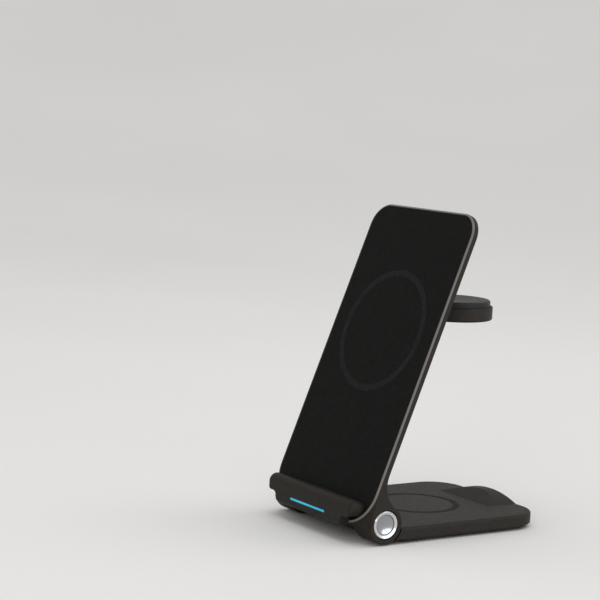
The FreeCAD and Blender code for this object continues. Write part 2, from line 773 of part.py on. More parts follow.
def housing_corner(body):
    """The front of one knuckle, which leads from the round lower corner of the rim to the square end."""
    radius, x, z = number("bottom_corner_radius"), number(CORNER_X), number(CORNER_RISE)
    part_way = f"({CORNER_X} + bottom_corner_radius * 3 / 4)"
    start = -math.degrees(math.acos((number(EAR_INNER) - x) / radius))
    middle = -math.degrees(math.acos((number(part_way) - x) / radius))
    rim = draw_on(body, "XZ_Plane", "(face_offset - rim_bevel)")
    low_turn = arc(rim, x, z, radius, start, middle)
    high_turn = arc(rim, x, z, radius, middle, 0)
    rim.addConstraint(Sketcher.Constraint("Coincident", low_turn, 2, high_turn, 1))
    for turn in (low_turn, high_turn):
        bind_point(rim, turn, 3, CORNER_X, CORNER_RISE)
    bind(rim, "Radius", (low_turn,), "bottom_corner_radius")
    bind(rim, "DistanceX", (-1, 1, low_turn, 2), part_way)
    corner_sides(rim, high_turn, low_turn)
    bind(rim, "DistanceY", (-1, 1, high_turn, 2), CORNER_RISE)
    inset, low = number("corner_blend_round"), number(CORNER_LOW)
    end = draw_on(body, "XZ_Plane", "corner_blend")
    bottom = line(end, (number(EAR_INNER), low), (number(HALF) - inset, low))
    turn = arc(end, number(HALF) - inset, low + inset, inset, 270, 360)
    end.addConstraint(Sketcher.Constraint("Horizontal", bottom))
    join(end, (bottom, 2, turn, 1))
    bind_point(end, turn, 3, f"({HALF} - corner_blend_round)", f"({CORNER_LOW} + corner_blend_round)")
    bind(end, "Radius", (turn,), "corner_blend_round")
    corner_sides(end, turn, bottom)
    bind(end, "DistanceY", (-1, 1, turn, 2), f"({CORNER_LOW} + corner_blend_round)")
    mirror(body, loft(body, rim, end))


def housing_hinge_holes(body):
    """The bore of the shaft through both knuckles, and the seats of the caps."""
    bore = draw_on(body, "YZ_Plane")
    circle(bore, "0", "0", "shaft_radius + running_gap")
    pocket(body, bore, "body_width", both=True)
    seat = draw_on(body, "YZ_Plane", HALF)
    circle(seat, "0", "0", "cap_radius + cap_gap")
    mirror(body, pocket(body, seat, "cap_thickness"))


def housing_hollow(body):
    """The hollow behind the front plate, with the bosses of the board."""
    pocket(body, back_outline(body, "face_offset", "back_wall"), f"face_offset - {STAND_FLOOR}")
    posts = draw_on(body, "XZ_Plane", f"{STAND_FLOOR} - back_wall / 2")
    circles(posts, board_screw_places(), "stand_boss_radius")
    pad(body, posts, "stand_boss_height + back_wall / 2")
    pilots = draw_on(body, "XZ_Plane", STAND_BOARD_BACK)
    circles(pilots, board_screw_places(), "screw_radius + running_gap")
    pocket(body, pilots, "board_screw_grip + seat_gap")


def housing_lugs(body):
    """The two lugs on the back that hold the pin of the watch arm."""
    radius, back, height = number("lug_radius"), number("arm_axis_back"), number("arm_axis_height")
    root = f"({BACK} + back_wall / 2)"
    foot = -number(root)
    sketch = draw_on(body, "YZ_Plane", LUG_INNER)
    low = line(sketch, (foot, height - radius), (back, height - radius))
    end = arc(sketch, back, height, radius, -90, 90)
    high = line(sketch, (back, height + radius), (foot, height + radius))
    inner = line(sketch, (foot, height + radius), (foot, height - radius))
    join(sketch, (low, 2, end, 1), (end, 2, high, 1))
    for here, there in ((high, inner), (inner, low)):
        sketch.addConstraint(Sketcher.Constraint("Coincident", here, 2, there, 1))
    sketch.addConstraint(Sketcher.Constraint("Vertical", inner))
    bind_point(sketch, end, 3, "arm_axis_back", "arm_axis_height")
    bind(sketch, "Radius", (end,), "lug_radius")
    bind_point(sketch, inner, 1, minus(root), "(arm_axis_height + lug_radius)")
    sketch.addConstraint(Sketcher.Constraint("Horizontal", low))
    mirror(body, pad(body, sketch, "lug_width"))
    bore = draw_on(body, "YZ_Plane")
    circle(bore, "arm_axis_back", "arm_axis_height", "watch_pin_radius + running_gap")
    pocket(body, bore, f"2 * ({LUG_INNER} + lug_width) + seat_gap", both=True)


def board_screw_places():
    across = "(stand_board_width / 2 - board_screw_inset)"
    along = ("(stand_board_low + board_screw_inset)",
             "(stand_board_low + stand_board_length - board_screw_inset)")
    return [(x, z) for x in (across, minus(across)) for z in along]


def make_stand_rear_housing():
    body = new_body("stand_rear_housing")
    pad(body, panel_outline(body, "face_offset", "0"), "edge_thickness", flip=True)
    bevel_edges(body, "rim_bevel", lambda e: flat_at(e, "Y", "-1 * face_offset"))
    housing_back(body)
    housing_knuckle(body)
    housing_corner(body)
    pocket(body, panel_outline(body, "face_offset", "rim_width"), "plate_thickness")
    housing_hollow(body)
    housing_hinge_holes(body)
    housing_lugs(body)
    keep_leaning(body)


def make_stand_front_plate():
    body = new_body("stand_front_plate")
    pad(body, panel_outline(body, "face_offset", "(rim_width + seat_gap)"), "plate_thickness", flip=True)
    bevel_edges(body, "plate_bevel", lambda e: flat_at(e, "Y", "-1 * face_offset"))
    groove = draw_on(body, "XZ_Plane", "face_offset")
    circle(groove, "0", "phone_pad_height", "phone_pad_radius + running_gap")
    circle(groove, "0", "phone_pad_height", "phone_pad_radius - pad_ring_width - running_gap")
    pocket(body, groove, "pad_thickness")
    keep_leaning(body)
    inlay = new_body("phone_pad_ring")
    disc(inlay, "XZ_Plane", "face_offset", [("0", "phone_pad_height")], "phone_pad_radius", "pad_thickness",
         "phone_pad_radius - pad_ring_width", flip=True)
    keep_leaning(inlay)


def make_phone_charging():
    heights = {"phone_coil_lower": "lower_coil_height", "phone_coil_upper": "upper_coil_height"}
    for label, height in heights.items():
        coil = new_body(label)
        disc(coil, "XZ_Plane", PLATE_BACK, [("0", height)], PHONE_COIL, "coil_thickness",
             "phone_coil_eye", flip=True)
        keep_leaning(coil)
    ferrite = new_body("phone_coil_ferrite")
    half = f"({PHONE_COIL} + ferrite_margin)"
    sketch = draw_on(ferrite, "XZ_Plane", COIL_BACK)
    rectangle(sketch, minus(half), f"(lower_coil_height - {half})", half, f"(upper_coil_height + {half})")
    pad(ferrite, sketch, "ferrite_thickness", flip=True)
    keep_leaning(ferrite)


def make_stand_circuit_board():
    body = new_body("stand_circuit_board")
    half = "(stand_board_width / 2)"
    sketch = draw_on(body, "XZ_Plane", STAND_BOARD_FRONT)
    rectangle(sketch, minus(half), "stand_board_low", half, "(stand_board_low + stand_board_length)")
    circles(sketch, board_screw_places(), "screw_radius + seat_gap")
    pad(body, sketch, "board_thickness", flip=True)
    keep_leaning(body)
    screws = new_body("stand_board_screws")
    places = board_screw_places()
    disc(screws, "XZ_Plane", STAND_BOARD_FRONT, places, "screw_head_radius", "screw_head_height")
    disc(screws, "XZ_Plane", STAND_BOARD_FRONT, places, "screw_radius",
         "board_thickness + board_screw_grip", flip=True)
    keep_leaning(screws)


def make_pin(label, y, z, radius, length):
    """A plain steel pin along X."""
    body = new_body(label)
    sketch = draw_on(body, "YZ_Plane")
    circle(sketch, y, z, radius)
    pad(body, sketch, length, both=True)
    bevel_edges(body, f"{radius} / 5", lambda e: e.BoundBox.XLength < NEAR)
    keep_leaning(body)


def make_hinge_cap(label, side):
    """A turned disc with a flat rim, a step down from it, and a shallow round hollow in the middle."""
    body = new_body(label)
    outer = f"({side} * {HALF})"
    inner = f"({side} * ({HALF} - cap_thickness))"
    edge = f"({side} * ({HALF} - cap_edge))"
    floor = f"({side} * ({HALF} - dish_step))"
    sketch = draw_on(body, "XY_Plane")
    polygon(sketch, [
        (inner, "0"),
        (inner, "cap_radius"),
        (edge, "cap_radius"),
        (outer, "(cap_radius - cap_edge)"),
        (outer, "dish_radius"),
        (floor, "(dish_radius - dish_slope)"),
        (floor, "0"),
    ])
    revolve(body, sketch, "X_Axis")
    span = "(dish_radius - 2 * dish_slope)"
    ball = f"(({span} * {span} + dish_depth * dish_depth) / (2 * dish_depth))"
    hollow = draw_on(body, "XY_Plane")
    middle = f"({side} * ({HALF} - dish_step - dish_depth + {ball}))"
    half_disc(hollow, middle, ball)
    groove(body, hollow, "X_Axis")
    keep_leaning(body)


# Ledge: drawn level about the hinge axis, because its front face stands upright in use

def on_panel(across, along):
    """A point of the leaning panel, given across and along it, as level coordinates."""
    return (f"({across} * {SINE} + {along} * {COSINE})", f"({along} * {SINE} - {across} * {COSINE})")


def ledge_section(body):
    """The ledge's side view: a shelf square to the panel, an upright front and a level bottom."""
    face = "(-1 * face_offset)"
    shelf_y, shelf_z = on_panel(face, "shelf_height")
    run = f"((ledge_reach + {shelf_y}) / {SINE})"
    crest = f"({shelf_z} + {run} * {COSINE})"
    back_y, back_z = on_panel(face, "(-1 * stand_drop - seat_gap)")
    front = "(-1 * ledge_reach)"
    bottom = "(-1 * ledge_drop)"
    sketch = draw_on(body, "YZ_Plane")
    polygon(sketch, [
        (shelf_y, shelf_z),
        (front, crest),
        (front, bottom),
        (back_y, bottom),
        (back_y, back_z),
    ])
    pad(body, sketch, "lobe_width", both=True)
    for radius, height in (("ledge_roll", crest), ("ledge_foot_round", bottom)):
        round_edges(body, radius, lambda e: close(e.BoundBox.YMax, front) and close(e.BoundBox.ZMin, height))
    return crest


def ledge_outline(body, crest):
    """The ledge's front view: a wide upper lobe over a narrower part."""
    wide, narrow = "(lobe_width / 2)", "(ledge_width / 2)"
    bottom = "(-1 * ledge_drop)"
    sketch = draw_on(body, "XZ_Plane")
    polygon(sketch, [
        (narrow, bottom),
        (narrow, "lobe_bottom"),
        (wide, "lobe_bottom"),
        (wide, crest),
        (minus(wide), crest),
        (minus(wide), "lobe_bottom"),
        (minus(narrow), "lobe_bottom"),
        (minus(narrow), bottom),
    ])
    pad(body, sketch, "2 * ledge_reach", both=True)
    round_edges(body, "lobe_round", lambda e: runs_along(e, "Y") and close(abs(e.BoundBox.XMin), wide))
    for radius, height in (("lobe_blend", "lobe_bottom"), ("ledge_corner", bottom)):
        corner = lambda e: close(abs(e.BoundBox.XMin), narrow) and close(e.BoundBox.ZMin, height)
        round_edges(body, radius, lambda e: runs_along(e, "Y") and corner(e))


def ledge_plan(body):
    """The ledge's top view, with round front corners."""
    front = "(-1 * ledge_reach)"
    sketch = draw_on(body, "XY_Plane")
    rectangle(sketch, "(-1 * lobe_width / 2)", front, "(lobe_width / 2)", "0")
    pad(body, sketch, "2 * ledge_reach", both=True)
    round_edges(body, "ledge_end_round", lambda e: runs_along(e, "Z") and close(e.BoundBox.YMin, front))


def make_phone_ledge():
    section = new_body("ledge_section")
    crest = ledge_section(section)
    face = "ledge_reach"
    window = draw_on(section, "XZ_Plane", face)
    slot(window, "light_rise", "(light_width + 2 * running_gap)", "(light_height + 2 * running_gap)")
    pocket(section, window, "light_depth + seat_gap")
    recess = draw_on(section, "XZ_Plane", "(ledge_reach - light_depth)")
    half = "(led_board_width / 2 + seat_gap)"
    rectangle(recess, minus(half), "(light_rise - led_board_height / 2 - seat_gap)", half,
              "(light_rise + led_board_height / 2 + seat_gap)")
    pocket(section, recess, "ledge_reach - light_depth")
    outline = new_body("ledge_outline")
    ledge_outline(outline, crest)
    plan = new_body("ledge_plan")
    ledge_plan(plan)
    ledge = doc.addObject("Part::MultiCommon", "phone_ledge")
    ledge.Label = "phone_ledge"
    ledge.Shapes = [section, outline, plan]
    doc.recompute()
    keep(ledge, HINGE_Y, "hinge_height")


def make_ledge_fittings():
    strip = new_body("ledge_pad")
    half = "(ledge_pad_width / 2)"
    front = "(-1 * face_offset - ledge_pad_setback)"
    sketch = draw_on(strip, "XY_Plane", "shelf_height")
    rectangle(sketch, minus(half), f"({front} - ledge_pad_depth)", half, front)
    pad(strip, sketch, "ledge_pad_thickness")
    keep_leaning(strip)
    light = new_body("led_light_guide")
    sketch = draw_on(light, "XZ_Plane", "ledge_reach")
    slot(sketch, "light_rise", "light_width", "light_height")
    pad(light, sketch, "light_depth", flip=True)
    keep(light, HINGE_Y, "hinge_height")
    board = new_body("led_board")
    half = "(led_board_width / 2)"
    sketch = draw_on(board, "XZ_Plane", "(ledge_reach - light_depth)")
    rectangle(sketch, minus(half), "(light_rise - led_board_height / 2)", half,
              "(light_rise + led_board_height / 2)")
    pad(board, sketch, "led_board_thickness", flip=True)
    keep(board, HINGE_Y, "hinge_height")


# Watch arm: drawn level about its own hinge axis

def arm_screw_places():
    places = []
    for angle in (90, 210, 330):
        x = f"(arm_screw_circle * cos({angle} deg))"
        y = f"(arm_reach + arm_screw_circle * sin({angle} deg))"
        places.append((x, y))
    return places


def arm_plan(body, offset, front, height):
    """The round end and the neck of the arm, as one plate."""
    neck = draw_on(body, "XY_Plane", offset)
    half = "(arm_neck_width / 2)"
    rectangle(neck, minus(half), front, half, "arm_reach")
    pad(body, neck, height)
    end = draw_on(body, "XY_Plane", offset)
    circle(end, "0", "arm_reach", "arm_radius")
    pad(body, end, height)


def make_watch_arm_lower_shell():
    body = new_body("watch_arm_lower_shell")
    underside = "(-1 * arm_thickness / 2)"
    arm_plan(body, underside, "0", "arm_shell_height")
    barrel = draw_on(body, "YZ_Plane")
    circle(barrel, "0", "0", "(arm_thickness / 2)")
    pad(body, barrel, "arm_neck_width", both=True)
    round_edges(body, "arm_edge_round", lambda e: (
        flat_at(e, "Z", underside) and e.BoundBox.YMax > number("arm_reach") and not runs_along(e, "X")))
    hollow = draw_on(body, "XY_Plane", ARM_SHELL_TOP)
    circle(hollow, "0", "arm_reach", "arm_hollow_radius")
    pocket(body, hollow, "arm_shell_height - arm_floor")
    pilots = draw_on(body, "XY_Plane", ARM_SHELL_TOP)
    circles(pilots, arm_screw_places(), "arm_screw_radius + running_gap")
    pocket(body, pilots, "arm_screw_grip + seat_gap")
    bore = draw_on(body, "YZ_Plane")
    circle(bore, "0", "0", "watch_pin_radius + running_gap")
    pocket(body, bore, "arm_neck_width + seat_gap", both=True)
    keep(body, ARM_Y, ARM_Z)


def make_watch_arm_top_cover():
    body = new_body("watch_arm_top_cover")
    height = "(arm_thickness - arm_shell_height)"
    arm_plan(body, ARM_SHELL_TOP, "(arm_thickness / 2 + seat_gap)", height)
    relief = draw_on(body, "YZ_Plane")
    circle(relief, "0", "0", "arm_thickness / 2 + seat_gap")
    pocket(body, relief, "arm_neck_width", both=True)
    eye = draw_on(body, "XY_Plane", ARM_TOP)
    circle(eye, "0", "arm_reach", "puck_stem_radius + seat_gap")
    pocket(body, eye, height)
    holes = draw_on(body, "XY_Plane", ARM_TOP)
    circles(holes, arm_screw_places(), "arm_screw_radius + seat_gap")
    pocket(body, holes, height)
    sinks = draw_on(body, "XY_Plane", ARM_TOP)
    circles(sinks, arm_screw_places(), "arm_screw_head + seat_gap")
    pocket(body, sinks, "arm_screw_sink")
    round_edges(body, "arm_top_round", lambda e: (
        flat_at(e, "Z", ARM_TOP) and close(e.BoundBox.XMax, "arm_radius")))
    keep(body, ARM_Y, ARM_Z)


def make_watch_puck():
    """The charging puck: a hollow stem under a wide cap with a dished top."""
    body = new_body("watch_puck")
    sketch = draw_on(body, "XZ_Plane")
    rim = "(puck_radius - puck_rim_width)"
    bore = "(puck_stem_radius - puck_wall)"
    stem = f"({ARM_TOP} - puck_stem_length)"
    corners = [
        ("0", PUCK_CEILING),
        (bore, PUCK_CEILING),
        (bore, stem),
        ("puck_stem_radius", stem),
        ("puck_stem_radius", ARM_TOP),
        ("puck_radius", ARM_TOP),
        ("puck_radius", f"({PUCK_TOP} - puck_edge)"),
        ("(puck_radius - puck_edge)", PUCK_TOP),
        (rim, PUCK_TOP),
        ("0", f"({PUCK_TOP} - puck_dish_depth)"),
    ]
    polygon(sketch, corners)
    revolve(body, sketch, "Z_Axis")
    keep(body, f"({ARM_Y} + arm_reach)", ARM_Z)


def make_watch_charging():
    middle = [("0", "arm_reach")]
    coil = new_body("watch_coil")
    disc(coil, "XY_Plane", PUCK_CEILING, middle, "watch_coil_radius", "coil_thickness",
         "watch_coil_eye", flip=True)
    keep(coil, ARM_Y, ARM_Z)
    ferrite = new_body("watch_coil_ferrite")
    disc(ferrite, "XY_Plane", f"{PUCK_CEILING} - coil_thickness", middle, "watch_coil_radius",
         "ferrite_thickness", flip=True)
    keep(ferrite, ARM_Y, ARM_Z)


def make_watch_arm_screws():
    body = new_body("watch_arm_screws")
    seat = f"({ARM_TOP} - arm_screw_sink)"
    disc(body, "XY_Plane", seat, arm_screw_places(), "arm_screw_head", "screw_head_height")
    disc(body, "XY_Plane", seat, arm_screw_places(), "arm_screw_radius",
         f"{seat} - {ARM_SHELL_TOP} + arm_screw_grip", flip=True)
    keep(body, ARM_Y, ARM_Z)


# Build

make_base_top_shell()
make_base_bottom_cover()
make_base_feet()
make_base_screws()
make_base_circuit_board()
make_usb_c_socket()
make_earbuds_charging()
make_hinge_bushes()
make_stand_rear_housing()
make_stand_front_plate()
make_phone_charging()
make_stand_circuit_board()
make_pin("hinge_shaft", "0", "0", "shaft_radius", f"2 * ({HALF} - cap_thickness - seat_gap)")
make_pin("watch_hinge_pin", "arm_axis_back", "arm_axis_height", "watch_pin_radius",
         f"2 * ({LUG_INNER} + lug_width)")
make_hinge_cap("hinge_cap_right", "1")
make_hinge_cap("hinge_cap_left", "-1")
make_phone_ledge()
make_ledge_fittings()
make_watch_arm_lower_shell()
make_watch_arm_top_cover()
make_watch_puck()
make_watch_charging()
make_watch_arm_screws()
doc.recompute()

# Check, then write

for item in doc.Objects:
    if "Invalid" in item.State or "Error" in item.State:
        raise RuntimeError(f"{item.Label} failed: {item.State}")
for piece in sub_parts:
    if piece.Shape.isNull() or not piece.Shape.isValid():
        raise RuntimeError(f"{piece.Label} has no valid shape")
os.makedirs("parts", exist_ok=True)
for piece in sub_parts:
    piece.Shape.exportStep(f"parts/{piece.Label}.step")
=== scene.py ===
"""Looks of the foldable charger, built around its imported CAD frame. All lengths are in metres."""

import json
import math

import bpy
from mathutils import Matrix, Vector


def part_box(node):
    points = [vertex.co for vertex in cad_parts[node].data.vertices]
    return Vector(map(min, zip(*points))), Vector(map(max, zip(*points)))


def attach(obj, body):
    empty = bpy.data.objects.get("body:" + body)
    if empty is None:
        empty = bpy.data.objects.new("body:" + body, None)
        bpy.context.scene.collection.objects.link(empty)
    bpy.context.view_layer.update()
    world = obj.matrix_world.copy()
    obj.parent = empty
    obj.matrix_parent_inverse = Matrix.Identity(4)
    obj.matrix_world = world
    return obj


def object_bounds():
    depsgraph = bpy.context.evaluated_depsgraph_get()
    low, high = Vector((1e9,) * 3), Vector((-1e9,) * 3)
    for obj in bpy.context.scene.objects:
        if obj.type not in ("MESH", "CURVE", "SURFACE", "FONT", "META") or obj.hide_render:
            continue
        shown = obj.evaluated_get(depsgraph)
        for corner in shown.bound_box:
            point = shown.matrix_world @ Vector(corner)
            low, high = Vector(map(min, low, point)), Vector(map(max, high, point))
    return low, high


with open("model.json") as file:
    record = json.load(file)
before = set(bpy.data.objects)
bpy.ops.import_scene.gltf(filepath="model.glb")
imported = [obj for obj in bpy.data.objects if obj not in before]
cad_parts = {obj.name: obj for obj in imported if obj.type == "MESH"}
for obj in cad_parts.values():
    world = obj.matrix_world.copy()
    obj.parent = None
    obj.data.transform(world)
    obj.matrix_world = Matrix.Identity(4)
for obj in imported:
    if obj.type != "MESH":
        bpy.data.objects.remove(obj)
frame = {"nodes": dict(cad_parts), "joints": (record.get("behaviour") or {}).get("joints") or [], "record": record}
cad_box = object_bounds()
nodes = frame["nodes"]
joints = {joint["name"]: joint for joint in frame["joints"]}

MM = 0.001
MIDDLE = (cad_box[0] + cad_box[1]) / 2
HINGE = joints["stand_fold"]["pos_m"]
# The stand folds flat, so its lean at rest is the whole of its travel
LEAN = math.radians(joints["stand_fold"]["range_deg"][1])


# Camera, solved from the photograph

EYE = Vector((0.55884, -0.42151, 0.16118))
AZIMUTH = math.radians(56.49)
ELEVATION = math.radians(6.385)
ROLL = math.radians(2.751)
LENS_MM = 111.14
NEAREST_SEEN = 0.01


def add_camera():
    data = bpy.data.cameras.new("camera")
    data.lens = LENS_MM
    data.clip_start = NEAREST_SEEN
    camera = bpy.data.objects.new("camera", data)
    bpy.context.scene.collection.objects.link(camera)
    turn = Matrix.Rotation(AZIMUTH, 3, "Z") @ Matrix.Rotation(math.pi / 2 - ELEVATION, 3, "X")
    camera.rotation_euler = (turn @ Matrix.Rotation(ROLL, 3, "Z")).to_euler()
    camera.location = EYE
    bpy.context.scene.camera = camera


# Light

DAYLIGHT = 0.75
BACKDROP = 0.7
SKY_TONE = (1.0, 0.995, 0.985, 1.0)


def add_world():
    """Even daylight, with a pale backdrop for what the camera and reflections see."""
    world = bpy.data.worlds.new("studio")
    bpy.context.scene.world = world
    world.use_nodes = True
    tree = world.node_tree
    tree.nodes.clear()
    path = tree.nodes.new("ShaderNodeLightPath")
    seen = path.outputs["Is Camera Ray"]
    for ray in ("Is Glossy Ray", "Is Transmission Ray"):
        either = tree.nodes.new("ShaderNodeMath")
        either.operation = "MAXIMUM"
        tree.links.new(seen, either.inputs[0])
        tree.links.new(path.outputs[ray], either.inputs[1])
        seen = either.outputs[0]
    mix = tree.nodes.new("ShaderNodeMixShader")
    tree.links.new(seen, mix.inputs["Fac"])
    for socket, strength in zip(mix.inputs[1:], (DAYLIGHT, BACKDROP)):
        background = tree.nodes.new("ShaderNodeBackground")
        background.inputs["Color"].default_value = SKY_TONE
        background.inputs["Strength"].default_value = strength
        tree.links.new(background.outputs[0], socket)
    output = tree.nodes.new("ShaderNodeOutputWorld")
    tree.links.new(mix.outputs[0], output.inputs["Surface"])


def object_alone():
    """A collection of the object's nodes, for a lamp that leaves the floor unlit."""
    group = bpy.data.collections.new("object_alone")
    for node in nodes.values():
        group.objects.link(node)
    return group


def add_softbox(name, place, size, power, lit=None):
    """A soft lamp aimed at the object, which reflections show and the camera doesn't.

    It lights everything, or only the collection that it is given.
    """
    data = bpy.data.lights.new(name, "AREA")
    data.shape = "RECTANGLE"
    data.size, data.size_y = size
    data.energy = power
    lamp = bpy.data.objects.new(name, data)
    bpy.context.scene.collection.objects.link(lamp)
    lamp.location = place
    lamp.rotation_euler = (MIDDLE - Vector(place)).to_track_quat("-Z", "Y").to_euler()
    lamp.visible_camera = False
    if lit:
        lamp.light_linking.receiver_collection = lit


def add_softboxes():
    """Light from above, on the rim, on the right side and on the upper edges from behind.

    The side lamp stands low, so that the hinge caps reflect it. It lights the object alone, because so low
    a lamp leaves a bright patch with a hard edge on the floor.
    """
    add_softbox("key", place=(0.2, -0.35, 1.2), size=(0.7, 0.5), power=2.0)
    add_softbox("rim", place=(0.72, -0.96, 0.55), size=(0.32, 0.32), power=0.9)
    add_softbox("side", place=(1.2, 0.45, 0.26), size=(1.1, 0.5), power=6.2, lit=object_alone())
    add_softbox("edge", place=(0.3, 0.8, 1.05), size=(0.7, 0.7), power=2.6)


# Mesh helpers

SHARP_FROM = math.radians(30)


def mesh_piece(name, points, faces):
    """A new mesh object, smooth apart from its sharp edges."""
    mesh = bpy.data.meshes.new(name)
    mesh.from_pydata(points, [], faces)
    mesh.validate()
    mesh.polygons.foreach_set("use_smooth", [True] * len(mesh.polygons))
    mesh.set_sharp_from_angle(angle=SHARP_FROM)
    piece = bpy.data.objects.new(name, mesh)
    bpy.context.scene.collection.objects.link(piece)
    return piece


def prism(outline, low, high):
    """The points and faces of an outline in plan, given height."""
    count = len(outline)
    points = [(x, y, z) for z in (low, high) for x, y in outline]
    faces = [tuple(reversed(range(count))), tuple(range(count, 2 * count))]
    for step in range(count):
        after = (step + 1) % count
        faces.append((step, after, count + after, count + step))
    return points, faces


# Floor

FLOOR_TURNS = 72
FLOOR_RADIUS = 6.0
SWEEP_STEPS = 40
SWEEP_START = 0.8
SWEEP_DEPTH = 2.4
SWEEP_HEIGHT = 1.3
SWEEP_SPREAD = 1.2


def rise_towards(turn):
    """The share of the backdrop's height in one direction: all behind the object, none before it."""
    away = 0.5 + SWEEP_SPREAD * math.cos(turn - AZIMUTH - math.pi / 2)
    away = max(0.0, min(1.0, away))
    return away * away * (3 - 2 * away)


def add_floor(material):
    """A flat floor that rises behind the object, away from the camera, without a crease."""
    turns = [math.radians(360 * step / FLOOR_TURNS) for step in range(FLOOR_TURNS)]
    shares = [step / SWEEP_STEPS for step in range(SWEEP_STEPS + 1)]
    rings = [(SWEEP_START + SWEEP_DEPTH * share, SWEEP_HEIGHT * share ** 3) for share in shares]
    rings.append((FLOOR_RADIUS, SWEEP_HEIGHT))
    points = [(0.0, 0.0, 0.0)]
    for radius, height in rings:
        for turn in turns:
            points.append((radius * math.cos(turn), radius * math.sin(turn), height * rise_towards(turn)))
    faces = []
    for step in range(FLOOR_TURNS):
        after = (step + 1) % FLOOR_TURNS
        faces.append((0, 1 + step, 1 + after))
        for ring in range(len(rings) - 1):
            inner = 1 + ring * FLOOR_TURNS
            outer = inner + FLOOR_TURNS
            faces.append((inner + step, outer + step, outer + after, inner + after))
    floor = mesh_piece("floor", points, faces)
    floor.data.materials.append(material)


# Material helpers

# Where a Mix node has its two sources and its result, for each kind of data
MIX_SOCKETS = {"FLOAT": (2, 3, 0), "VECTOR": (4, 5, 1), "RGBA": (6, 7, 2)}
# The middle part of a noise's range, which most of its values lie in
NOISE_LOW = 0.3
NOISE_HIGH = 0.7
# The distance between the rings of a wave texture whose scale is one, and how much they waver
WAVE_PERIOD = 0.314
RING_WAVER = 0.4
# How closely a rounded normal agrees with the plain one where an edge's mask starts, and where it is full
EDGE_STARTS = 0.99
EDGE_FULL = 0.85
EDGE_SAMPLES = 8
# Paler edges, partly wear and partly a painted highlight: the size of their patches, and how much paler they are
WEAR_AND_HIGHLIGHT_PATCH = 0.7 * MM
WEAR_AND_HIGHLIGHT_PALER = 2.5


